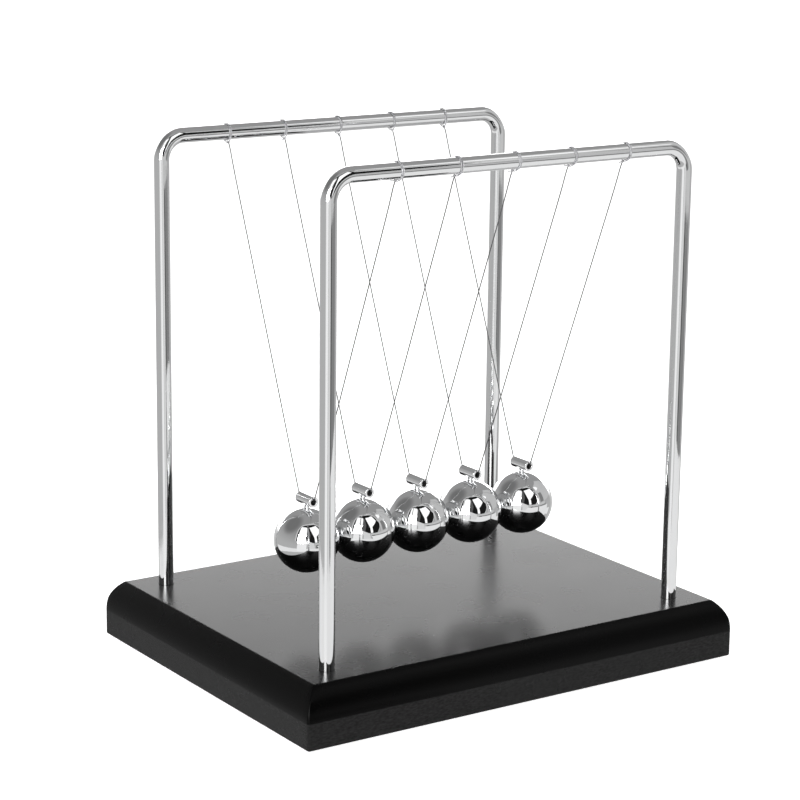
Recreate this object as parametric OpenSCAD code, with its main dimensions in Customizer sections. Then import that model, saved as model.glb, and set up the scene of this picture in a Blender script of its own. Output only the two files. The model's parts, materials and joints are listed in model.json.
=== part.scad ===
// Desk cradle of five swinging steel balls, for showing how momentum passes along a row.
// Two bent rods stand in a lacquered board. Each ball hangs from both rods on one V of clear line.
// X runs along the row of balls, Y from the front rod to the rear rod, and Z is up.
// The origin is on the table, under the middle of the board.

/* [Board] */
// Length of the board, along the row of balls
board_l = 170; // [155:1:200]
// Depth of the board, from front to back
board_d = 134; // [122:1:160]
// Thickness of the board
board_t = 19.4; // [18:0.2:26]
// How far the top face's edge is set in from the side
edge_inset = 5.1; // [3:0.1:6]
// Height of the upright part of the side, under the curve
edge_flat = 9; // [6:0.5:11]
// Radius of the board's upright corners
corner_r = 1; // [0.5:0.1:2]
// Diameter of each pad under the board
pad_d = 12; // [8:0.5:16]
// Thickness of each pad
pad_t = 1; // [0.5:0.1:2]

/* [Rods] */
// Diameter of the two bent rods
rod_d = 5.2; // [4.6:0.1:6]
// Distance between the two uprights of one rod
rod_span = 138; // [128:1:144]
// Distance between the front rod and the rear rod
rod_gap = 104; // [94:1:108]
// Height of the rods' level bars, at their middle
bar_z = 175.4; // [150:1:200]
// Radius of each bend, at the rod's middle
bend_r = 8; // [6:0.5:12]
// How deep the uprights stand in the board
socket_depth = 12; // [9:0.5:12]

/* [Balls] */
// Diameter of each ball
ball_d = 22; // [18:0.5:22]
// Space between one ball and the next
ball_gap = 0.1; // [0.1:0.05:0.5]
// Height of the balls' centres
ball_z = 45.6; // [36:0.2:60]

/* [Hangers] */
// Outside diameter of the cross tube on each ball
tube_d = 3.7; // [3.2:0.1:4.2]
// Bore of the cross tube
tube_bore = 2.1; // [1.5:0.1:2.4]
// Length of the cross tube
tube_l = 8.6; // [6:0.2:12]
// Height of the tube's middle above the ball's centre
tube_rise = 13.8; // [13.4:0.1:15]
// Diameter of the stem between the ball and its tube
stem_d = 1.6; // [1:0.1:2]

/* [Lines] */
// Diameter of the clear line
line_d = 0.35; // [0.3:0.05:0.5]
// Diameter of each knot
knot_d = 1.1; // [0.8:0.1:1.4]

/* [Hidden] */
$fn = 96;
NUMBERS = [1:5];

// A little more, so that a cut passes right through a face
more = 1;
// Heights of the board's two faces
board_low = pad_t;
board_top = pad_t + board_t;
// Radius of the curve along the board's top edge, which is upright where it starts
edge_rise = board_t - edge_flat;
edge_r = (pow(edge_inset, 2) + pow(edge_rise, 2)) / (2 * edge_inset);
// Bevel along the board's bottom edge
bottom_bevel = 0.4;
// Each pad's middle is this far in from the board's ends and from its long sides
pad_end_inset = 33;
pad_side_inset = 14;

// Running room between a rod and its socket, all round
socket_room = 0.05;
rod_low = board_top - socket_depth;
// M3 screws with pan heads hold the rods from below
screw_d = 2.9;
screw_l = 14;
tap_d = 3;
tap_depth = 11;
screw_hole_d = 3.4;
head_d = 5.6;
head_t = 2.2;
slot_w = 0.8;
slot_l = 3.2;
slot_depth = 1.3;
washer_d = 7;
washer_hole_d = 3.2;
washer_t = 0.5;
counterbore_d = 8.4;
counterbore_depth = 3.6;
washer_low = board_low + counterbore_depth - washer_t;

ball_pitch = ball_d + ball_gap;
tube_z = ball_z + tube_rise;
// How deep the stem stands in its ball, and the room round it there
stem_depth = 3;
stem_room = 0.02;

// The line lies along the top of the tube's bore, and bends up round each end of the tube
line_room = 0.02;
line_z = tube_z + tube_bore / 2 - line_d / 2 - line_room;
line_bend = 2 * line_d;
// From the middle of that bend to the middle of the rear bar, as [y, z]
bend_to_bar = [rod_gap / 2 - tube_l / 2, bar_z - line_z - line_bend];
run_l = sqrt(pow(norm(bend_to_bar), 2) - pow(line_bend, 2));
// How steeply the line climbs, on a tangent from the bend that points at the bar's middle
line_angle = atan2(bend_to_bar[1], bend_to_bar[0]) + atan2(line_bend, run_l);
// Each loop goes twice round its bar, and its knot hangs just under it
loop_r = rod_d / 2 + line_d / 2 + line_room;
knot_room = 0.04;
knot_drop = loop_r + line_d / 2 + knot_room + knot_d / 2;
knot_y = rod_gap / 2 - knot_drop * cos(line_angle);
knot_z = bar_z - knot_drop * sin(line_angle);
// The line reaches from its bend to just short of the knot
line_run = run_l - knot_drop - knot_d / 2 - line_room;

black_lacquer = [0.035, 0.035, 0.04];
bright_chrome = [0.8, 0.8, 0.82];
zinc = [0.62, 0.63, 0.62];
black_foam = [0.08, 0.08, 0.08];
clear_nylon = [0.85, 0.88, 0.9, 0.6];

// Place of a ball along the row
function ball_x(n) = (n - 3) * ball_pitch;

// Both sides of the board's section: a bevel at the bottom, an upright side, then the curve
module board_section(width) {
    half = width / 2;
    intersection() {
        translate([-half, 0])
            square([width, board_t]);
        union() {
            polygon([
                [-half + bottom_bevel, 0],
                [half - bottom_bevel, 0],
                [half, bottom_bevel],
                [half, edge_flat],
                [-half, edge_flat],
                [-half, bottom_bevel]
            ]);
            translate([-half + edge_r, 0])
                square([width - 2 * edge_r, board_t]);
            for (side = [-1, 1])
                translate([side * (half - edge_r), edge_flat])
                    circle(r = edge_r);
        }
    }
}

module rounded_plan(length, depth, radius) {
    square([length - 2 * radius, depth], center = true);
    square([length, depth - 2 * radius], center = true);
    for (x = [-1, 1], y = [-1, 1])
        translate([x * (length / 2 - radius), y * (depth / 2 - radius)])
            circle(r = radius);
}

// The four places where the rods stand
module at_uprights() {
    for (x = [-1, 1], y = [-1, 1])
        translate([x * rod_span / 2, y * rod_gap / 2, 0])
            children();
}

module base_board() {
    color(black_lacquer)
        difference() {
            translate([0, 0, board_low])
                intersection() {
                    translate([0, board_d / 2, 0])
                        rotate([90, 0, 0])
                            linear_extrude(board_d)
                                board_section(board_l);
                    translate([-board_l / 2, 0, 0])
                        rotate([90, 0, 90])
                            linear_extrude(board_l)
                                board_section(board_d);
                    linear_extrude(board_t)
                        rounded_plan(board_l, board_d, corner_r);
                }
            at_uprights() {
                translate([0, 0, rod_low])
                    cylinder(d = rod_d + 2 * socket_room, h = socket_depth + more);
                cylinder(d = screw_hole_d, h = board_top);
                translate([0, 0, board_low - more])
                    cylinder(d = counterbore_d, h = counterbore_depth + more);
            }
        }
}

// One rod bent to an upside-down U, tapped at both ends
module bent_rod() {
    up = bar_z - bend_r - rod_low;
    color(bright_chrome)
        difference() {
            union() {
                for (side = [-1, 1])
                    translate([side * rod_span / 2, 0, rod_low])
                        cylinder(d = rod_d, h = up);
                for (side = [0, 1])
                    mirror([side, 0, 0])
                        translate([rod_span / 2 - bend_r, 0, bar_z - bend_r])
                            rotate([90, 0, 0])
                                rotate_extrude(angle = 90)
                                    translate([bend_r, 0])
                                        circle(d = rod_d);
                translate([-rod_span / 2 + bend_r, 0, bar_z])
                    rotate([0, 90, 0])
                        cylinder(d = rod_d, h = rod_span - 2 * bend_r);
            }
            for (side = [-1, 1])
                translate([side * rod_span / 2, 0, rod_low - more])
                    cylinder(d = tap_d, h = tap_depth + more);
        }
}

module front_frame() {
    translate([0, -rod_gap / 2, 0])
        bent_rod();
}

module rear_frame() {
    translate([0, rod_gap / 2, 0])
        bent_rod();
}

// Pan head down, with a cross slot
module frame_screws() {
    color(zinc)
        at_uprights()
            translate([0, 0, washer_low])
                difference() {
                    union() {
                        cylinder(d = screw_d, h = screw_l);
                        translate([0, 0, -head_t / 2])
                            cylinder(d = head_d, h = head_t / 2);
                        translate([0, 0, -head_t])
                            cylinder(d1 = head_d - head_t, d2 = head_d, h = head_t / 2);
                    }
                    for (turn = [0, 90])
                        rotate([0, 0, turn])
                            translate([-slot_l / 2, -slot_w / 2, -head_t - more])
                                cube([slot_l, slot_w, slot_depth + more]);
                }
}

module frame_washers() {
    color(zinc)
        at_uprights()
            translate([0, 0, washer_low])
                difference() {
                    cylinder(d = washer_d, h = washer_t);
                    translate([0, 0, -more])
                        cylinder(d = washer_hole_d, h = washer_t + 2 * more);
                }
}

module foot_pad(n) {
    x = n % 2 == 1 ? -1 : 1;
    y = n <= 2 ? -1 : 1;
    color(black_foam)
        translate([x * (board_l / 2 - pad_end_inset), y * (board_d / 2 - pad_side_inset), 0])
            cylinder(d = pad_d, h = pad_t);
}

module ball(n) {
    color(bright_chrome)
        translate([ball_x(n), 0, ball_z])
            difference() {
                sphere(d = ball_d);
                translate([0, 0, ball_d / 2 - stem_depth])
                    cylinder(d = stem_d + 2 * stem_room, h = stem_depth + more);
            }
}

module hanger_tube(n) {
    color(bright_chrome)
        translate([ball_x(n), 0, tube_z])
            rotate([90, 0, 0])
                difference() {
                    cylinder(d = tube_d, h = tube_l, center = true);
                    cylinder(d = tube_bore, h = tube_l + 2 * more, center = true);
                }
}

// A short pin, hollowed at the top to the tube it is welded to
module hanger_stem(n) {
    stem_low = ball_z + ball_d / 2 - stem_depth;
    color(bright_chrome)
        difference() {
            translate([ball_x(n), 0, stem_low])
                cylinder(d = stem_d, h = tube_z - stem_low);
            translate([ball_x(n), 0, tube_z])
                rotate([90, 0, 0])
                    cylinder(d = tube_d, h = tube_l, center = true);
        }
}

// Half of the line: out of the tube, round its end and up to the rear knot
module half_line() {
    translate([0, tube_l / 2, line_z + line_bend]) {
        rotate([0, 90, 0])
            rotate_extrude(angle = line_angle)
                translate([line_bend, 0])
                    circle(d = line_d);
        rotate([line_angle, 0, 0])
            translate([0, 0, -line_bend])
                rotate([-90, 0, 0])
                    cylinder(d = line_d, h = line_run);
    }
}

// Down from the front knot, through the tube, and up to the rear knot
module line(n) {
    color(clear_nylon)
        translate([ball_x(n), 0, 0]) {
            translate([0, tube_l / 2, line_z])
                rotate([90, 0, 0])
                    cylinder(d = line_d, h = tube_l);
            half_line();
            mirror([0, 1, 0])
                half_line();
        }
}

module loops(side) {
    color(clear_nylon)
        for (n = NUMBERS, turn = [-1, 1])
            translate([ball_x(n) + turn * (line_d / 2 + line_room), side * rod_gap / 2, bar_z])
                rotate([0, 90, 0])
                    rotate_extrude()
                        translate([loop_r, 0])
                            circle(d = line_d);
}

module knot(n, side) {
    color(clear_nylon)
        translate([ball_x(n), side * knot_y, knot_z])
            sphere(d = knot_d);
}

base_board();
front_frame();
rear_frame();
frame_screws();
frame_washers();
loops(-1);  // front_loops
loops(1);  // rear_loops
for (n = [1:4])
    foot_pad(n);
for (n = NUMBERS)
    ball(n);
for (n = NUMBERS)
    hanger_tube(n);
for (n = NUMBERS)
    hanger_stem(n);
for (n = NUMBERS)
    line(n);
for (n = NUMBERS)
    knot(n, -1);
for (n = NUMBERS)
    knot(n, 1);
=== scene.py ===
# A desk cradle. Five chrome balls hang in a row, each on a V of clear line, between two bent
# chrome rods that stand in a black lacquered board. X runs along the row of balls, Y from the
# front rod to the rear rod, and Z is up from the table. Lengths are in metres.
import json
import math

import bmesh
import bpy
import numpy as np
from mathutils import Matrix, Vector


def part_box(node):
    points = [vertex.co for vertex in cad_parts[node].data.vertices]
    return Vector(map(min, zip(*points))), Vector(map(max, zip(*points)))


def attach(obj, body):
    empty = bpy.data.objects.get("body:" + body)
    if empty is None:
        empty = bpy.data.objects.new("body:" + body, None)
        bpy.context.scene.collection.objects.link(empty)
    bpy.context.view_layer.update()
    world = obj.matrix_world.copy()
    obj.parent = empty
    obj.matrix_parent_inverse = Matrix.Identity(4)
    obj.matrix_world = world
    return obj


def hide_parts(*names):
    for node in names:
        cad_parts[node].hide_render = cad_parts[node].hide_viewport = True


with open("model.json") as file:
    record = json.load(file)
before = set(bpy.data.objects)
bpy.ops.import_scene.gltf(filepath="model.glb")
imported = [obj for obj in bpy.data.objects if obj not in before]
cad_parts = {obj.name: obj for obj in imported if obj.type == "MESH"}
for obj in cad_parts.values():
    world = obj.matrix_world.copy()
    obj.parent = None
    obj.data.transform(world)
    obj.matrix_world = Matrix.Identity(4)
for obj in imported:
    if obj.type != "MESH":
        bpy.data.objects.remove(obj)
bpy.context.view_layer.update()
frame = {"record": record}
MM = 0.001
NUMBERS = range(1, 6)

# ---- Camera -------------------------------------------------------------------------------------
# It stands in front and to the left, just over half a metre back from the board, and looks down a
# little on the balls. A long lens keeps the rods almost upright.
CAMERA_PLACE = (-0.4655, -0.6798, 0.2841)
CAMERA_HEADING, CAMERA_DOWN, CAMERA_TILT = (math.radians(a) for a in (-33.97, 13.41, 0.65))

camera_data = bpy.data.cameras.new("camera")
camera_data.lens = 112.86
camera = bpy.data.objects.new("camera", camera_data)
bpy.context.scene.collection.objects.link(camera)
camera.matrix_world = (
    Matrix.Translation(CAMERA_PLACE)
    @ Matrix.Rotation(CAMERA_HEADING, 4, "Z")
    @ Matrix.Rotation(math.pi / 2 - CAMERA_DOWN, 4, "X")
    @ Matrix.Rotation(CAMERA_TILT, 4, "Z")
)
bpy.context.scene.camera = camera
bpy.context.scene.view_settings.view_transform = "Standard"


# ---- Lines --------------------------------------------------------------------------------------
# Each ball hangs on one length of clear nylon monofilament. It is tied to the front rod, drops
# through the cross tube on the ball, bends up round the tube's end and is tied to the rear rod.
LINE_D = 0.35 * MM
LINE_BEND = 0.7 * MM
LINE_COLUMNS = 16
# Where it leaves a knot the line sets off too steeply by this much, and soon comes straight.
LINE_SET = 0.25 * MM
LINE_SET_LENGTH = 2.5 * MM


def unit(v):
    return v / np.linalg.norm(v, axis=-1, keepdims=True)


def rings(path, radius, side, columns, way=None):
    """Rings of points along a path, as a grid of rows by columns. Each ring is the path's point
    plus radius times (cos a * side + sin a * (way x side)), for equal steps of the angle a. way is
    the path's direction, and side is squared off to it."""
    way = unit(np.gradient(path, axis=0)) if way is None else unit(way)
    side = unit(side - (side * way).sum(-1, keepdims=True) * way)
    a = (np.arange(columns) * 2 * np.pi / columns)[:, None]
    spoke = np.cos(a) * side[:, None] + np.sin(a) * np.cross(way, side)[:, None]
    return path[:, None] + np.reshape(radius, (-1, 1, 1)) * spoke


def quads(grid, around=True, along=False, start=True, end=True):
    """Points and faces that cover a grid. A face joins four neighbours, and looks outwards where
    the columns turn anticlockwise about the way that the rows go. around joins the last column
    to the first, and along the last row to the first. Where along is false, start and end say
    whether the first row and the last row are closed with a fan to their middle."""
    rows, columns = grid.shape[:2]
    n = np.arange(rows * columns).reshape(rows, columns)
    if around:
        n = np.hstack([n, n[:, :1]])
    if along:
        n = np.vstack([n, n[:1]])
    corners = [n[:-1, :-1], n[:-1, 1:], n[1:, 1:], n[1:, :-1]]
    faces = np.stack(corners, -1).reshape(-1, 4).tolist()
    points = grid.reshape(-1, 3)
    for row, wanted, order in ((0, start, -1), (-1, end, 1)):
        if wanted and not along:
            a, b = np.stack([n[row, :-1], n[row, 1:]])[::order]
            faces += np.stack([a, b, np.full(len(a), len(points))], -1).tolist()
            points = np.vstack([points, grid[row].mean(0)])
    return points, faces


def make_piece(name, *skins, sharp=50):
    """A smooth-shaded mesh object of one or more skins, each the points and faces of a surface.
    Edges sharper than that angle stay crisp."""
    first = np.cumsum([0] + [len(points) for points, _ in skins])
    faces = [[i + k for i in f] for k, (_, fs) in zip(first, skins) for f in fs]
    mesh = bpy.data.meshes.new(name)
    mesh.from_pydata(np.vstack([points for points, _ in skins]), [], faces)
    mesh.shade_smooth()
    mesh.set_sharp_from_angle(angle=math.radians(sharp))
    mesh.validate()
    piece = bpy.data.objects.new(name, mesh)
    bpy.context.scene.collection.objects.link(piece)
    return piece


def middle(node):
    low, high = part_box(node)
    return np.array((low + high) / 2)


def line_path(n):
    """The middle of ball n's line, from its front knot to its rear knot. The rear half is a
    straight in the tube, an arc round the tube's end and a tangent from the arc to the knot,
    and the front half is its mirror image."""
    x, end_y, end_z = middle(f"rear_knot_{n}")
    tube_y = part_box(f"hanger_tube_{n}")[1].y
    low_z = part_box(f"line_{n}")[0].z + LINE_D / 2
    reach = np.array([end_y - tube_y, end_z - low_z - LINE_BEND])
    climb = math.atan2(reach[1], reach[0]) + math.asin(LINE_BEND / np.linalg.norm(reach))
    a = np.linspace(0, climb, 16)
    arc = np.stack([tube_y + LINE_BEND * np.sin(a), low_z + LINE_BEND * (1 - np.cos(a))], 1)
    run = np.linalg.norm([end_y, end_z] - arc[-1])
    left = run * np.linspace(1, 0, 161)[1:] ** 1.6
    across = LINE_SET * left / LINE_SET_LENGTH * np.exp(1 - left / LINE_SET_LENGTH)
    forward, outward = np.array([[np.cos(climb), np.sin(climb)], [np.sin(climb), -np.cos(climb)]])
    straight = [end_y, end_z] - left[:, None] * forward - across[:, None] * outward
    half_tube = np.linspace(0, tube_y, 12)[:-1]
    in_tube = np.stack([half_tube, np.full(len(half_tube), low_z)], 1)
    rear = np.vstack([in_tube, arc, straight])
    front = rear[:0:-1] * [-1, 1]
    path = np.vstack([front, rear])
    return np.insert(path, 0, x, axis=1)


def new_material(name):
    """A material with a Principled shader. Returns the material, its node tree and the shader."""
    material = bpy.data.materials.new(name)
    material.use_nodes = True
    tree = material.node_tree
    return material, tree, tree.nodes["Principled BSDF"]


def carry_over(tree, source, start, end, low, high, smooth=False):
    """A value that goes from low to high as the source goes from start to end."""
    spread = tree.nodes.new("ShaderNodeMapRange")
    spread.interpolation_type = "SMOOTHSTEP" if smooth else "LINEAR"
    limits = {"From Min": start, "From Max": end, "To Min": low, "To Max": high}
    for name, value in limits.items():
        spread.inputs[name].default_value = value
    tree.links.new(source, spread.inputs["Value"])
    return spread.outputs["Result"]


# Most of a noise's values lie between these two.
NOISE_RANGE = (0.3, 0.7)


def mottle(tree, scale, low, high, detail=3.0, stretch=(1, 1, 1)):
    """A value that drifts from low to high with a noise of that many cells to the metre."""
    place = tree.nodes.new("ShaderNodeTexCoord")
    mapping = tree.nodes.new("ShaderNodeMapping")
    mapping.inputs["Scale"].default_value = stretch
    noise = tree.nodes.new("ShaderNodeTexNoise")
    noise.inputs["Scale"].default_value = scale
    noise.inputs["Detail"].default_value = detail
    tree.links.new(place.outputs["Object"], mapping.inputs["Vector"])
    tree.links.new(mapping.outputs["Vector"], noise.inputs["Vector"])
    return carry_over(tree, noise.outputs["Fac"], *NOISE_RANGE, low, high)


def add_bump(tree, shader, height, distance, strength=1.0):
    bump = tree.nodes.new("ShaderNodeBump")
    bump.inputs["Distance"].default_value = distance
    bump.inputs["Strength"].default_value = strength
    tree.links.new(height, bump.inputs["Height"])
    tree.links.new(bump.outputs["Normal"], shader.inputs["Normal"])


def clear_nylon(name, painted_tone, clear):
    """Clear monofilament with the faint drawn ripple that its surface has, given a painted tone and
    little transmission. The grey that a straight run shows against a white wall is painted shade,
    and the paler tone of the wound loops and knots is a painted highlight."""
    material, tree, shader = new_material(name)
    shader.inputs["Base Color"].default_value = (painted_tone, painted_tone, 1.03 * painted_tone, 1)
    shader.inputs["IOR"].default_value = 1.53
    shader.inputs["Transmission Weight"].default_value = clear
    tree.links.new(mottle(tree, 900, 0.06, 0.2), shader.inputs["Roughness"])
    add_bump(tree, shader, mottle(tree, 2500, 0, 1), 0.006 * MM)
    return material


# One clear nylon in two painted tones: the line's is dark, painted shade, and the loops' and knots' is
# pale, a painted highlight.
nylon = clear_nylon("clear_nylon", 0.06, 0.15)
nylon_painted_highlight = clear_nylon("nylon_painted_highlight", 0.45, 0.35)
line_paths = {n: line_path(n) for n in NUMBERS}
lines = {}
for n, path in line_paths.items():
    across = np.tile([1.0, 0, 0], (len(path), 1))
    radius = np.full(len(path), LINE_D / 2)
    lines[n] = make_piece(f"line_{n}_nylon", quads(rings(path, radius, across, LINE_COLUMNS)))
    lines[n].data.materials.append(nylon)
    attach(lines[n], f"pendulum_{n}")
    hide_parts(f"line_{n}")


# ---- Loops and knots ----------------------------------------------------------------------------
# At each end the line goes twice round its bar and is tied off in a small knot under it, on the
# side that faces the balls. The tail is cut off short.
LOOP_SIDE = 0.36 * MM
LOOP_ROOM = 0.02 * MM
KNOT_R = 0.38 * MM
KNOT_DEPTH = 0.2 * MM
TAIL = 1.6 * MM
# Each loop leans sideways across its bar by up to this much, and no two lean alike.
LOOP_LEAN = 0.16 * MM
# The share of the loop in which it comes down on the bar, and leaves it again.
LOOP_ENDS = 0.07


def ramp(x):
    """Rises smoothly from 0 to 1 as x goes from 0 to 1."""
    x = np.clip(x, 0, 1)
    return x * x * (3 - 2 * x)


def loop_path(n, bar, knot):
    """Twice round the bar, from the knot and back to it. The radius falls from the knot to the
    bar and rises again at the end, and the line moves sideways as minus the cosine of half a
    turn, so that the second turn lies beside the first."""
    down = knot - bar
    start = math.atan2(down[2], down[1])
    bar_r = (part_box("rear_frame")[1].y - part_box("rear_frame")[0].y) / 2
    lie = bar_r + LINE_D / 2 + LOOP_ROOM
    u = np.linspace(0, 1, 145)
    off = ramp(u / LOOP_ENDS) * ramp((1 - u) / LOOP_ENDS)
    a = start + 4 * np.pi * u
    r = lie + (np.linalg.norm(down[1:]) - lie) * (1 - off)
    lean = LOOP_LEAN * math.sin(2.3 * n + 9 * bar[1] / MM) * np.sin(a - start)
    x = knot[0] + off * (lean - LOOP_SIDE * np.cos(np.pi * u))
    path = np.stack([x, bar[1] + r * np.cos(a), bar[2] + r * np.sin(a)], 1)
    spoke = np.stack([0 * a, np.cos(a), np.sin(a)], 1)
    return path, spoke


def knot_skins(n, centre, side):
    """The knot is a trefoil, drawn tight: a curve at (sin t + 2 sin 2t, cos t - 2 cos 2t,
    -sin 3t) has the three crossings of an overhand knot. A short tail leaves it, and curves up a little."""
    t = np.linspace(0, 2 * np.pi, 96, endpoint=False) + n
    flat = np.stack([np.sin(t) + 2 * np.sin(2 * t), np.cos(t) - 2 * np.cos(2 * t)], 1) / 3
    tie = np.stack([flat[:, 0] * KNOT_R, flat[:, 1] * KNOT_R, -KNOT_DEPTH * np.sin(3 * t)], 1)
    ahead = np.roll(tie, -1, 0) - np.roll(tie, 1, 0)
    up = np.tile([0.0, 0, 1], (len(tie), 1))
    skin = quads(rings(centre + tie, np.full(len(tie), LINE_D / 2), up, 10, ahead), along=True)
    s = np.linspace(0, 1, 12)[:, None]
    lean = np.array([math.cos(1.7 * n) * 0.4 - 0.6, -0.5 * side, -0.35 + 0.3 * math.sin(2.1 * n)])
    tail = centre + s * TAIL * unit(lean) + [0, 0, 0.25 * MM] * s * s
    tail_r = np.full(len(tail), LINE_D / 2)
    return [skin, quads(rings(tail, tail_r, np.tile([0.0, 0.3, 1], (len(tail), 1)), 10))]


bodies = frame["record"]["behaviour"]["bodies"]
body_of = {node: body for body, members in bodies.items() for node in members}
for n in NUMBERS:
    tied = []
    for side, name in ((-1, "front"), (1, "rear")):
        knot = middle(f"{name}_knot_{n}")
        low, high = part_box(f"{name}_frame")
        bar = np.array([knot[0], (low.y + high.y) / 2, high.z - (high.y - low.y) / 2])
        path, spoke = loop_path(n, bar, knot)
        loop = make_piece(
            f"{name}_loop_{n}", quads(rings(path, np.full(len(path), LINE_D / 2), spoke, 12))
        )
        tie = make_piece(f"{name}_tie_{n}", *knot_skins(n, knot, side))
        # The loops and knots take the pale nylon, whose tone is a painted highlight.
        for piece in (loop, tie):
            piece.data.materials.append(nylon_painted_highlight)
        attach(loop, "stand")
        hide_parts(f"{name}_loops")
        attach(tie, body_of[f"{name}_knot_{n}"])
        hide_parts(f"{name}_knot_{n}")
        tied += [loop, tie]
    path = line_paths[n]


# ---- Board --------------------------------------------------------------------------------------
# A block of fibreboard, moulded along its top edge and sprayed with satin black lacquer. Its
# corners are mitred by the moulding and softened by the paint. Four stepped holes take the rods
# from above and their screws from below.
board_low, board_high = (np.array(c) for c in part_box("base_board"))
BOARD_CORNER_R = 1.0 * MM
MITRE_R = 0.3 * MM
EDGE_INSET = 5.1 * MM
EDGE_FLAT = 9 * MM
BOTTOM_BEVEL = 0.4 * MM
WEB_BORDER = 1.2 * MM
SOCKET_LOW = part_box("front_frame")[0].z
SOCKET_D = 5.3 * MM
SCREW_HOLE_D = 3.4 * MM
COUNTERBORE_D = 8.4 * MM
COUNTERBORE_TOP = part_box("frame_washers")[1].z
HEAD_D = 5.6 * MM


def eased(corners, ease, steps=5, closed=False):
    """A profile whose corners are eased. Each becomes a parabola that starts one ease before the
    corner and ends one ease after it. One more point a little further off on both sides keeps
    the straights flat when they are shaded. The ends of an open profile stay as they are."""
    corners = np.asarray(corners, float)
    t = np.linspace(0, 1, steps)[:, None, None]
    before, after = np.roll(corners, 1, 0), np.roll(corners, -1, 0)
    ease = np.broadcast_to(np.reshape(ease, (-1, 1)), (len(corners), 1))
    a, b = corners + ease * unit(before - corners), corners + ease * unit(after - corners)
    bend = (1 - t) ** 2 * a + 2 * t * (1 - t) * corners + t * t * b
    hold = 0.35
    rows = np.concatenate([[a + hold * (a - corners)], bend, [b + hold * (b - corners)]])
    rows = rows.transpose(1, 0, 2)
    if closed:
        return rows.reshape(-1, 2)
    return np.vstack([corners[:1], rows[1:-1].reshape(-1, 2), corners[-1:]])


def corner_outline(inset, corner_r, steps=24):
    """One quarter of a rounded rectangle, from the middle of the board's end to the middle of its
    long side, at an inset from the board's sides. Both may be arrays of one value for each row."""
    inset, corner_r = np.atleast_1d(inset)[:, None], np.atleast_1d(corner_r)[:, None]
    a, b = board_high[0] - inset - corner_r, board_high[1] - inset - corner_r
    turn = np.linspace(0, np.pi / 2, 9)[None]
    run = np.linspace(0, 1, steps)[None]
    x = np.hstack([a + corner_r + 0 * run[:, :-1], a + corner_r * np.cos(turn), a * (1 - run[:, 1:])])
    y = np.hstack([b * run[:, :-1], b + corner_r * np.sin(turn), b + corner_r + 0 * run[:, 1:]])
    return np.stack([x, y], -1)


def all_round(quarter):
    """The whole outline from one quarter: the quarter, and its three mirror images in order."""
    second = quarter[:, ::-1] * [-1, 1]
    half = np.concatenate([quarter[:, :-1], second[:, :-1]], 1)
    return np.concatenate([half, -half], 1)


def board_side():
    """The board's side, carried round its outline: a bevel, an upright, a round of one radius,
    and the arris where the round meets the flat top."""
    height = board_high[2] - board_low[2]
    rise = height - EDGE_FLAT
    round_r = (EDGE_INSET**2 + rise**2) / (2 * EDGE_INSET)
    a = np.linspace(0, math.asin(rise / round_r), 18)
    foot = [[WEB_BORDER, 0], [BOTTOM_BEVEL, 0], [0, BOTTOM_BEVEL], [0, EDGE_FLAT]]
    curve = np.stack([round_r * (1 - np.cos(a)), EDGE_FLAT + round_r * np.sin(a)], 1)
    top = [EDGE_INSET + WEB_BORDER, height]
    arris = eased([curve[-2], curve[-1], top], 0.35 * MM, 6)[1:]
    profile = np.vstack([eased(foot, 0.15 * MM), curve[1:-1], arris])
    inset, z = profile.T
    flat = all_round(corner_outline(inset, np.maximum(BOARD_CORNER_R - inset, MITRE_R)))
    z = np.broadcast_to(z[:, None, None] + board_low[2], (*flat.shape[:2], 1))
    return quads(np.concatenate([flat, z], -1), start=False, end=False)


def board_quarter(side_x, side_y):
    """One quarter of the top and of the underside, with its hole. Each is a web from the hole's
    rim out to the quarter's border: a weighted mean of the rim and the border in the same
    direction from the rod's middle. Between the two webs the rows go down the stepped hole."""
    rod = np.array(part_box("frame_screws")[1])[:2] - HEAD_D / 2
    top, low = board_high[2], board_low[2]

    def border(inset):
        outer = corner_outline(inset, MITRE_R)[0]
        run = np.linspace(1, 0, 13)[1:, None]
        in_y, in_x = run * [0, outer[-1, 1]], (1 - run[:-1]) * [outer[0, 0], 0]
        return np.vstack([outer, in_y, in_x])

    over, under = border(EDGE_INSET + WEB_BORDER), border(WEB_BORDER)
    step = [
        [SOCKET_D / 2 + 0.6 * MM, top],
        [SOCKET_D / 2, top],
        [SOCKET_D / 2, SOCKET_LOW],
        [SCREW_HOLE_D / 2, SOCKET_LOW],
        [SCREW_HOLE_D / 2, COUNTERBORE_TOP],
        [COUNTERBORE_D / 2, COUNTERBORE_TOP],
        [COUNTERBORE_D / 2, low],
        [COUNTERBORE_D / 2 + 0.6 * MM, low],
    ]
    profile = eased(step, 0.2 * MM)
    spokes = unit(over - rod)
    hole = rod + profile[:, :1, None] * spokes
    share = np.array([1, 0.75, 0.5, 0.25])[:, None, None]
    flat = np.concatenate(
        [
            share * over + (1 - share) * hole[0],
            hole,
            share[::-1] * under + (1 - share[::-1]) * hole[-1],
        ]
    )
    z = np.r_[[top] * 4, profile[:, 1], [low] * 4][:, None, None]
    grid = np.concatenate([flat * [side_x, side_y], np.broadcast_to(z, (*flat.shape[:2], 1))], -1)
    # A single mirror turns the faces inside out, so there the columns go the other way round.
    if side_x != side_y:
        grid = grid[:, ::-1]
    return quads(grid, start=False, end=False)


def weld(piece, within=0.002 * MM):
    """Joins a piece's skins where their borders meet: points that close together become one."""
    shape = bmesh.new()
    shape.from_mesh(piece.data)
    bmesh.ops.remove_doubles(shape, verts=shape.verts, dist=within)
    shape.to_mesh(piece.data)
    shape.free()


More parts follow.
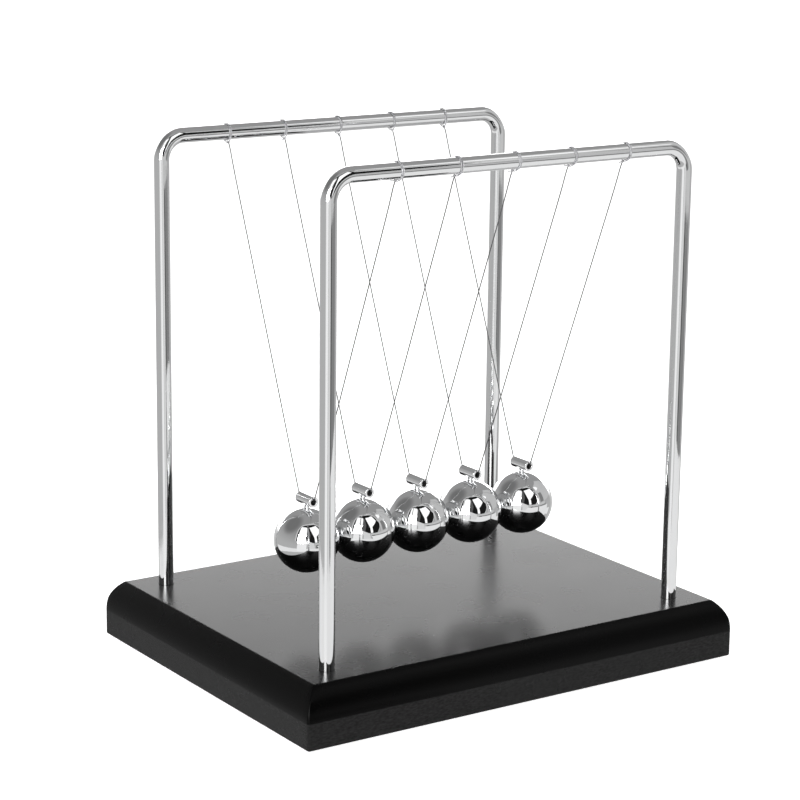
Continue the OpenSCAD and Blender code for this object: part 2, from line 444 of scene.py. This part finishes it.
def black_lacquer():
    """Satin black spray lacquer over filled fibreboard, with a fine orange peel all over. The top and
    the moulding are painted near pure black as painted shade, and below the moulding the upright
    sides are painted a little greyer as painted light, with a fine grain."""
    material, tree, shader = new_material("black_lacquer")
    shader.inputs["IOR"].default_value = 1.2
    place = tree.nodes.new("ShaderNodeTexCoord")
    split = tree.nodes.new("ShaderNodeSeparateXYZ")
    tree.links.new(place.outputs["Object"], split.inputs["Vector"])
    # Painted light and shade split at the foot of the moulding: near black above, painted shade, and a
    # little greyer below, painted light.
    painted_shade_line = board_low[2] + EDGE_FLAT
    side = carry_over(tree, split.outputs["Z"], painted_shade_line - 0.3 * MM, painted_shade_line + 0.1 * MM, 1, 0)
    grain_and_painted_light = mottle(tree, 1800, 0.006, 0.014, 4, (0.4, 0.4, 1))
    paint = tree.nodes.new("ShaderNodeMix")
    paint.inputs["A"].default_value = 0.0003
    tree.links.new(side, paint.inputs["Factor"])
    tree.links.new(grain_and_painted_light, paint.inputs["B"])
    tree.links.new(paint.outputs["Result"], shader.inputs["Base Color"])
    tree.links.new(mottle(tree, 60, 0.26, 0.28), shader.inputs["Roughness"])
    add_bump(tree, shader, mottle(tree, 2600, 0, 1, 4), 0.0009 * MM)
    return material


board = make_piece(
    "base_board_lacquered", board_side(), *(board_quarter(x, y) for x in (1, -1) for y in (1, -1))
)
weld(board)
board.data.materials.append(black_lacquer())
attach(board, "stand")
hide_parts("base_board")


# ---- Pads ---------------------------------------------------------------------------------------
# Four round pads of black foam rubber are stuck under the board.
def turned(profile, columns, centre=(0, 0, 0)):
    """A surface turned about an upright axis: each row is a circle of the profile's radius at the
    profile's height over the centre."""
    a = np.arange(columns) * 2 * np.pi / columns
    r, z = np.asarray(profile)[:, 0, None], np.asarray(profile)[:, 1, None]
    return np.stack([r * np.cos(a), r * np.sin(a), z + 0 * a], -1) + centre


def foam_rubber():
    """Closed-cell black foam with fine pores."""
    material, tree, shader = new_material("foam_rubber")
    shader.inputs["Base Color"].default_value = (0.02, 0.02, 0.02, 1)
    tree.links.new(mottle(tree, 700, 0.75, 0.95), shader.inputs["Roughness"])
    add_bump(tree, shader, mottle(tree, 3000, 0, 1, 5), 0.05 * MM)
    return material


foam = foam_rubber()
for n in range(1, 5):
    low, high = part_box(f"foot_pad_{n}")
    centre, r, t = middle(f"foot_pad_{n}"), (high.x - low.x) / 2, (high.z - low.z) / 2
    profile = eased([[0.4 * r, -t], [r, -t], [r, t], [0.4 * r, t]], 0.25 * MM)
    pad = make_piece(f"foot_pad_{n}_foam", quads(turned(profile, 64, centre)))
    pad.data.materials.append(foam)
    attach(pad, "stand")
    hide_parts(f"foot_pad_{n}")


# ---- Rods ---------------------------------------------------------------------------------------
# Two lengths of 5.2 mm steel rod, bent to an upside-down U, polished and chrome plated. Both ends
# are drilled and tapped for a screw, and slide into the board's sockets.
ROD_COLUMNS = 48
BEND_R = 8 * MM
TAP_D = 3 * MM
TAP_DEPTH = 11 * MM


def rod_rings(node):
    """The rod's path goes up one side, round a quarter circle, along the bar and down again. The
    rows start inside one tapped end, turn over its rim, follow the path and end inside the other
    end, so radius and path change together."""
    low, high = (np.array(c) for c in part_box(node))
    r = (high[1] - low[1]) / 2
    y, x, top = (high[1] + low[1]) / 2, high[0] - r, high[2] - r
    a = np.linspace(0, np.pi / 2, 25)
    arc = np.stack([BEND_R * (1 - np.cos(a)) - x, top + BEND_R * (np.sin(a) - 1)], 1)
    turn = np.stack([np.sin(a), np.cos(a)], 1)
    end = eased([[TAP_D / 2, TAP_DEPTH], [TAP_D / 2, 0], [r, 0], [r, 2 * MM]], 0.3 * MM)
    foot = np.stack([np.full(len(end), -x), low[2] + end[:, 1]], 1)
    climb = np.linspace(low[2] + 4 * MM, top - BEND_R, 12)[:-1]
    upright = np.stack([np.full(len(climb), -x), climb], 1)
    up = np.tile([0.0, 1], (len(end) + len(climb), 1))
    half = np.vstack([foot, upright, arc])
    way = np.vstack([up, turn])
    radius = np.r_[end[:, 0], np.full(len(upright) + len(arc), r)]
    path = np.vstack([half, half[::-1] * [-1, 1]])
    way = np.vstack([way, way[::-1] * [1, -1]])
    path, way = (np.insert(v, 1, c, axis=1) for v, c in ((path, y), (way, 0)))
    side = np.tile([0.0, 1, 0], (len(path), 1))
    return rings(path, np.r_[radius, radius[::-1]], side, ROD_COLUMNS, way)


def chrome(name, smooth, rough, wave, stretch=(1, 1, 1)):
    """Bright chrome plate over polished steel. The roughness drifts from smooth to rough, and a
    very shallow wave is left by the polishing wheel."""
    material, tree, shader = new_material(name)
    shader.inputs["Base Color"].default_value = (0.86, 0.865, 0.87, 1)
    shader.inputs["Metallic"].default_value = 1
    tree.links.new(mottle(tree, 350, smooth, rough, 6, stretch), shader.inputs["Roughness"])
    add_bump(tree, shader, mottle(tree, 120, 0, 1, 2, stretch), wave)
    return material


rod_chrome = chrome("rod_chrome", 0.03, 0.07, 0.0012 * MM)
for name in ("front", "rear"):
    rod = make_piece(f"{name}_rod_chromed", quads(rod_rings(f"{name}_frame")), sharp=60)
    rod.data.materials.append(rod_chrome)
    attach(rod, "stand")
    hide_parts(f"{name}_frame")


# ---- Screws and washers -------------------------------------------------------------------------
# Each rod end is held from below by a zinc-plated M3 pan-head screw with a plain washer, in a
# counterbore in the board.
SCREW_D = 2.9 * MM
THREAD_PITCH = 0.5 * MM
THREAD_DEPTH = 0.28 * MM
HEAD_T = 2.2 * MM
CROSS_L, CROSS_W, CROSS_DEPTH = 3.2 * MM, 0.8 * MM, 1.3 * MM
# The cross is this much smaller at its bottom than at the head's face.
CROSS_TAPER = 0.62
WASHER_HOLE_D = 3.2 * MM
screws_low, screws_high = (np.array(c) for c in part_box("frame_screws"))
washers_low, washers_high = (np.array(c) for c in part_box("frame_washers"))


def cross_radius(a):
    """Distance from the middle to the edge of a cross of two slots, in the direction a."""
    c, s = np.abs(np.cos(a)), np.abs(np.sin(a))
    return np.minimum(CROSS_L / 2 / np.maximum(c, s), CROSS_W / 2 / np.minimum(c, s).clip(1e-9))


def screw_skin(centre):
    """The screw as rows of circles. They start at the bottom of the cross, which tapers, climb
    out of it and cross the domed head, and go up the shank, where the radius falls and rises
    with the angle minus the height over the pitch: a thread."""
    low, top = screws_low[2], screws_high[2]
    a = np.arange(96) * 2 * np.pi / 96 + 0.01
    cross = cross_radius(a)
    wide = np.array([CROSS_TAPER, 0.75, 0.88, 1.0])[:, None]
    z_cross = low + CROSS_DEPTH * (1 - (wide - CROSS_TAPER) / (1 - CROSS_TAPER)) + 0 * a
    neck = low + HEAD_T
    corners = [
        [CROSS_L / 2, low],
        [HEAD_D / 2 - 0.5 * MM, low],
        [HEAD_D / 2, low + 1.1 * MM],
        [HEAD_D / 2, neck],
        [SCREW_D / 2, neck],
        [SCREW_D / 2, neck + 0.9 * MM],
    ]
    head = eased(corners, 0.25 * MM)
    z = np.arange(neck + MM, top - 0.6 * MM, THREAD_PITCH / 8)[:, None]
    groove = 0.5 - 0.5 * np.cos(2 * np.pi * z / THREAD_PITCH - a)
    cut = ramp((z - z[0]) / MM) * THREAD_DEPTH * groove
    tip = np.array([[SCREW_D / 2 - 0.25 * MM, top - 0.4 * MM], [SCREW_D / 2 - 0.6 * MM, top]])
    r = np.vstack([wide * cross, head[1:, :1] + 0 * a, SCREW_D / 2 - cut, tip[:, :1] + 0 * a])
    z = np.vstack([z_cross, head[1:, 1:] + 0 * a, z + 0 * a, tip[:, 1:] + 0 * a])
    grid = np.stack([centre[0] + r * np.cos(a), centre[1] + r * np.sin(a), z], -1)
    return quads(grid)


def zinc_plate():
    """Bright zinc with the fine frosting that barrel plating leaves."""
    material, tree, shader = new_material("zinc_plate")
    shader.inputs["Base Color"].default_value = (0.62, 0.63, 0.62, 1)
    shader.inputs["Metallic"].default_value = 1
    tree.links.new(mottle(tree, 2200, 0.22, 0.42, 5), shader.inputs["Roughness"])
    add_bump(tree, shader, mottle(tree, 4000, 0, 1, 4), 0.01 * MM)
    return material


zinc = zinc_plate()
uprights = [
    (x * (screws_high[0] - HEAD_D / 2), y * (screws_high[1] - HEAD_D / 2), 0)
    for x in (-1, 1)
    for y in (-1, 1)
]
washer_r = washers_high[0] - uprights[-1][0]
washer_profile = [
    [WASHER_HOLE_D / 2, washers_low[2]],
    [washer_r, washers_low[2]],
    [washer_r, washers_high[2]],
    [WASHER_HOLE_D / 2, washers_high[2]],
]
for n, place in enumerate(uprights, 1):
    ring = turned(eased(washer_profile, 0.1 * MM, closed=True), 64, place)
    screw = make_piece(f"frame_screw_{n}", screw_skin(place), sharp=40)
    washer = make_piece(f"frame_washer_{n}", quads(ring, along=True))
    for piece, node in ((screw, "frame_screws"), (washer, "frame_washers")):
        piece.data.materials.append(zinc)
        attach(piece, "stand")
        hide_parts(node)


# ---- Balls --------------------------------------------------------------------------------------
# Five 22 mm steel bearing balls, chrome plated. Each is drilled at the top for the pin of its
# hanger.
BALL_COLUMNS = 128
PIN_D = 1.6 * MM
PIN_DEPTH = 3 * MM
PIN_ROOM = 0.02 * MM
ball_low, ball_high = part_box("ball_3")
BALL_R = (ball_high.x - ball_low.x) / 2


def ball_profile():
    """Half a circle from the bottom up to the rim of the drilled hole, the rim's small round, and
    the wall of the hole down to its end."""
    hole_r = PIN_D / 2 + PIN_ROOM
    rim = math.asin((hole_r + 0.1 * MM) / BALL_R)
    a = np.linspace(0.012, np.pi - rim, 97)
    globe = np.stack([BALL_R * np.sin(a), -BALL_R * np.cos(a)], 1)
    end = BALL_R - PIN_DEPTH
    corners = [globe[-1], [hole_r, globe[-1, 1] - 0.04 * MM], [hole_r, end], [hole_r / 2, end]]
    return np.vstack([globe, eased(corners, 0.05 * MM)[1:]])


ball_chrome = chrome("ball_chrome", 0.012, 0.035, 0.0012 * MM)
for n in NUMBERS:
    low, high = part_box(f"ball_{n}")
    centre = ((low.x + high.x) / 2, 0, low.z + BALL_R)
    ball = make_piece(f"ball_{n}_chromed", quads(turned(ball_profile(), BALL_COLUMNS, centre)))
    ball.data.materials.append(ball_chrome)
    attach(ball, f"pendulum_{n}")
    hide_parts(f"ball_{n}")


# ---- Hangers ------------------------------------------------------------------------------------
# A short chromed tube lies across each ball and carries its line. A pin is brazed to the tube's
# underside and stands in the ball's hole, with a little braze drawn out at both ends.
TUBE_D = 3.7 * MM
TUBE_BORE = 2.1 * MM
BRAZE = 0.55 * MM
# How far the braze runs into the ball and the tube that it joins.
BRAZE_ROOT = 0.02 * MM


def tube_skin(centre, length):
    """A tube along Y: a closed profile of outside, end and bore, turned about the axis."""
    out, bore, half = TUBE_D / 2, TUBE_BORE / 2, length / 2
    profile = eased(
        [[bore, -half], [out, -half], [out, half], [bore, half]],
        [0.16 * MM, 0.14 * MM, 0.14 * MM, 0.16 * MM],
        closed=True,
    )
    upright = turned(profile, 64)
    along_y = np.stack([upright[..., 0], -upright[..., 2], upright[..., 1]], -1)
    return quads(along_y + centre, along=True)


def pin_skin(x, ball_z, tube_z):
    """A round pin whose radius swells to meet the ball below and the tube above. Its upper rim
    follows the tube: it is as far under the tube's axis as a chord at that radius allows."""
    a = np.arange(48) * 2 * np.pi / 48
    s = np.linspace(0, 1, 25)[:, None]
    r = PIN_D / 2 + 0.75 * BRAZE * (1 - s) ** 5 + BRAZE * s**5
    foot = ball_z + np.sqrt(BALL_R**2 - r**2) - BRAZE_ROOT
    rim = tube_z - np.sqrt((TUBE_D / 2) ** 2 - (r * np.cos(a)) ** 2) + BRAZE_ROOT
    neck_z = foot + (rim - foot) * s
    below = np.array([[0.3, PIN_DEPTH], [1, PIN_DEPTH - 0.2 * MM], [1, 0.2 * MM]])
    shank_r = below[:, :1] * PIN_D / 2 + 0 * a
    shank_z = ball_z + BALL_R - below[:, 1:] + 0 * a
    r = np.vstack([shank_r, r + 0 * a])
    z = np.vstack([shank_z, neck_z])
    return quads(np.stack([x + r * np.cos(a), r * np.sin(a), z], -1))


def bore_painted_shade():
    """The drilled bore: bare steel, dulled and painted near black as the shade inside it, ringed by the
    drill.
    """
    material, tree, shader = new_material("bore_painted_shade")
    shader.inputs["Base Color"].default_value = (0.018, 0.018, 0.018, 1)
    tree.links.new(mottle(tree, 1500, 0.45, 0.7, 4), shader.inputs["Roughness"])
    add_bump(tree, shader, mottle(tree, 3000, 0, 1, 2, (1, 6, 1)), 0.01 * MM)
    return material


tube_chrome = chrome("tube_chrome", 0.04, 0.1, 0.003 * MM)
bore_shade_material = bore_painted_shade()
for n in NUMBERS:
    low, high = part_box(f"hanger_tube_{n}")
    x, _, tube_z = centre = middle(f"hanger_tube_{n}")
    tube = make_piece(f"hanger_tube_{n}_chromed", tube_skin(centre, high.y - low.y))
    tube.data.materials.append(tube_chrome)
    tube.data.materials.append(bore_shade_material)
    # The faces of the bore get the near-black material, which is painted shade.
    for face in tube.data.polygons:
        off_axis = math.hypot(face.center.x - x, face.center.z - tube_z)
        face.material_index = int(off_axis < TUBE_BORE / 2 + 0.02 * MM)
    pin = make_piece(f"hanger_pin_{n}", pin_skin(x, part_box(f"ball_{n}")[0].z + BALL_R, tube_z))
    pin.data.materials.append(tube_chrome)
    for piece, node in ((tube, f"hanger_tube_{n}"), (pin, f"hanger_stem_{n}")):
        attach(piece, f"pendulum_{n}")
        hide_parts(node)


# ---- Studio -------------------------------------------------------------------------------------
# The camera sees a white floor and a white wall. What the polished parts show is the edge of a
# white table, and round the camera a tall softbox and a kite-shaped window in a black arch with a
# thin pale rim, with grey flags and pale sheets at its sides and under it.
TABLE_R = 0.36
# Of the table's 72 columns, those from 5 degrees left of straight in front to 75 right of it.
TABLE_PART = slice(53, 70)
STUDIO_R = 9.0
WALL_HEIGHT = 6.0
# Distance from the balls to the softbox, and the elevation in degrees of the panels' feet.
PANEL_R = 1.5
PANEL_FOOT = -24
PANEL_STEPS = 12


def glow(name, strength, base=0.0):
    """Matt paint that also gives off some light of its own, a little uneven."""
    material, tree, shader = new_material(name)
    shader.inputs["Base Color"].default_value = (base, base, base, 1)
    shader.inputs["Roughness"].default_value = 0.9
    shader.inputs["Specular IOR Level"].default_value = 0
    shader.inputs["Emission Color"].default_value = (1, 1, 1, 1)
    uneven = mottle(tree, 0.7, 0.97 * strength, 1.03 * strength)
    tree.links.new(uneven, shader.inputs["Emission Strength"])
    return material


def towards(azimuth, elevation, distance):
    """A point at that distance from the balls. Azimuth 0 is in front, and 90 is along +X."""
    a, e = np.radians(azimuth), np.radians(elevation)
    way = np.stack([np.sin(a) * np.cos(e), -np.cos(a) * np.cos(e), np.sin(e)], -1)
    return way * distance + [0, 0, ball_high.z]


def arch(right, left, spring, top, right_leg, left_leg, power=3):
    """An arch as azimuths and elevations: the upper half of a superellipse that springs from
    right and left at one height, on two legs. The right leg runs up, and the left leg down."""
    t = np.linspace(0, np.pi, 41)
    c, s = np.cos(t), np.sin(t)
    x = (right + left) / 2 + (right - left) / 2 * np.sign(c) * np.abs(c) ** (2 / power)
    y = spring + (top - spring) * np.abs(s) ** (2 / power)
    return np.vstack([right_leg, np.stack([x, y], 1), left_leg])


def panel(name, outline, distance, strength):
    """A glowing patch of a sphere round the cradle: rows go from the outline's mean out to the
    outline, whose sides are cut in short steps so that they follow the sphere."""
    s = np.linspace(0.05, 1, 12)[:, None, None]
    sides = np.vstack([outline, outline[:1]])
    at = np.arange(PANEL_STEPS * len(outline)) / PANEL_STEPS
    outline = np.stack([np.interp(at, np.arange(len(sides)), c) for c in sides.T], 1)
    mean = outline.mean(0)
    azimuth, elevation = np.moveaxis(mean + s * (outline - mean), -1, 0)
    piece = make_piece(name, quads(towards(azimuth, elevation, distance), end=False))
    piece.data.materials.append(glow(f"{name}_paint", strength))
    piece.visible_camera = False
    return piece


def stage_round(name, profile, strength, base=0.0):
    """A part of the stage that is turned about the middle of the cradle."""
    piece = make_piece(name, quads(turned(profile, 96), start=False, end=profile[-1][0] < 0.1))
    piece.data.materials.append(glow(f"{name}_paint", strength, base))
    return piece


floor_r = np.geomspace(STUDIO_R, 0.02, 40)
floor = stage_round("floor", np.stack([floor_r, 0 * floor_r], 1), 0.9, 0.85)
around_table = turned([[TABLE_R, 0], [0.05, 0]], 72)
table = make_piece("table", quads(around_table[:, TABLE_PART], around=False, start=False, end=False))
table.data.materials.append(glow("table_paint", 0.85))
wall = stage_round("backdrop", np.array([[STUDIO_R, 0], [STUDIO_R, WALL_HEIGHT]]), 1.06)
for piece, hidden_from in (
    (table, ("camera", "diffuse", "shadow", "transmission")),
    (floor, ("glossy",)),
    (wall, ("glossy", "diffuse", "shadow")),
):
    for kind in hidden_from:
        setattr(piece, f"visible_{kind}", False)

# Each panel's name, its outline as azimuths and elevations, how far it stands behind the softbox
# and how bright it is. The nearer ones cover what stands behind them.
panels = (
    ("side_sheet", [(36, 2), (100, 2), (104, 30), (90, 50), (50, 54), (38, 40)], 0.3, 0.55),
    ("rim_panel", arch(37, -74, 34, 69, [(22, 0), (35, 14), (41, 28)], [(-74, 8)]), 0.2, 0.7),
    ("black_panel", arch(33, -70, 36, 65.5, [(20, 0), (33, 15), (37, 28)], [(-70, 8)]), 0.1, 0.012),
    ("low_flag", [(4, -4), (66, -4), (68, PANEL_FOOT), (4, PANEL_FOOT)], 0.05, 0.24),
    ("grey_flag", [(43, 30), (58, 27), (58, 3), (42, 3)], 0, 0.22),
    ("black_strip", [(0, -4), (10, -4), (10, PANEL_FOOT), (0, PANEL_FOOT)], 0.02, 0.03),
    ("low_sheet", [(-37, 13), (-26, 9), (-8, 1), (-3, PANEL_FOOT), (-37, PANEL_FOOT)], 0.02, 0.74),
    ("low_gap", [(-38, -3), (-30, -3), (-30, PANEL_FOOT), (-38, PANEL_FOOT)], 0.01, 0.42),
    ("grey_edge", [(-40, 12), (-24, 10), (-19, 30), (-24, 56), (-33, 50)], 0.03, 0.11),
    ("front_sheet", [(-5, 1), (62, 1), (62, -5), (-5, -5)], 0.01, 0.6),
    ("softbox_top", arch(-31, -64, 47, 57, [(-34, 30)], [(-64, 30)], 5), 0, 1.25),
    ("softbox_foot", [(-36, 2), (-38, 22), (-34, 30), (-64, 30), (-65, 2)], 0, 12.0),
    ("floor_sheet", [(-150, -16.5), (90, -16.5), (90, -28), (-150, -28)], 0.005, 0.85),
    ("softbox_skirt", [(-35, PANEL_FOOT), (-33, 2), (-64, 2), (-68, PANEL_FOOT)], -0.01, 0.95),
    ("kite_window", [(-19, 56), (21, 57), (27, 37), (-1, 19), (4, 3), (-4, 3), (-5, 20)], 0, 1.25),
    ("side_window", [(44, 38), (62, 40), (58, 48), (44, 52)], 0, 1.1),
)
for name, outline, behind, strength in panels:
    panel(name, outline, PANEL_R + behind, strength)


def studio_light():
    """Light from the room itself: a white band behind the cradle, just above the table, and grey
    overhead, darker to the left. The direction is cut into its height, its reach away from the
    camera and its reach to the left."""
    world = bpy.data.worlds.new("studio_light")
    world.use_nodes = True
    tree = world.node_tree
    place = tree.nodes.new("ShaderNodeTexCoord")
    split = tree.nodes.new("ShaderNodeSeparateXYZ")
    tree.links.new(place.outputs["Generated"], split.inputs["Vector"])

    def reach_along(way):
        along = tree.nodes.new("ShaderNodeVectorMath")
        along.operation = "DOT_PRODUCT"
        along.inputs[1].default_value = way
        tree.links.new(place.outputs["Generated"], along.inputs[0])
        return along.outputs["Value"]

    def combined(operation, *sources):
        node = tree.nodes.new("ShaderNodeMath")
        node.operation = operation
        for socket, source in enumerate(sources):
            tree.links.new(source, node.inputs[socket])
        return node.outputs[0]

    height = split.outputs["Z"]
    away = reach_along((0.56, 0.83, 0))
    leftward = reach_along((-0.55, 0.35, 0.76))
    under = carry_over(tree, height, -0.1, 0.15, 0.05, 1, smooth=True)
    over = carry_over(tree, height, 0.275, 0.355, 1, 0, smooth=True)
    behind = carry_over(tree, away, 0.6, 0.92, 0, 4, smooth=True)
    overhead = carry_over(tree, height, -0.2, 0.6, 0.47, 0.32, smooth=True)
    left = carry_over(tree, leftward, 0.8, 0.97, 1, 0.55, smooth=True)
    band = combined("MULTIPLY", under, over)
    rest = combined("MULTIPLY", overhead, left)
    strength = combined("MULTIPLY_ADD", band, behind, rest)
    background = tree.nodes["Background"]
    background.inputs["Color"].default_value = (1, 1, 1, 1)
    tree.links.new(strength, background.inputs["Strength"])
    return world


bpy.context.scene.world = studio_light()
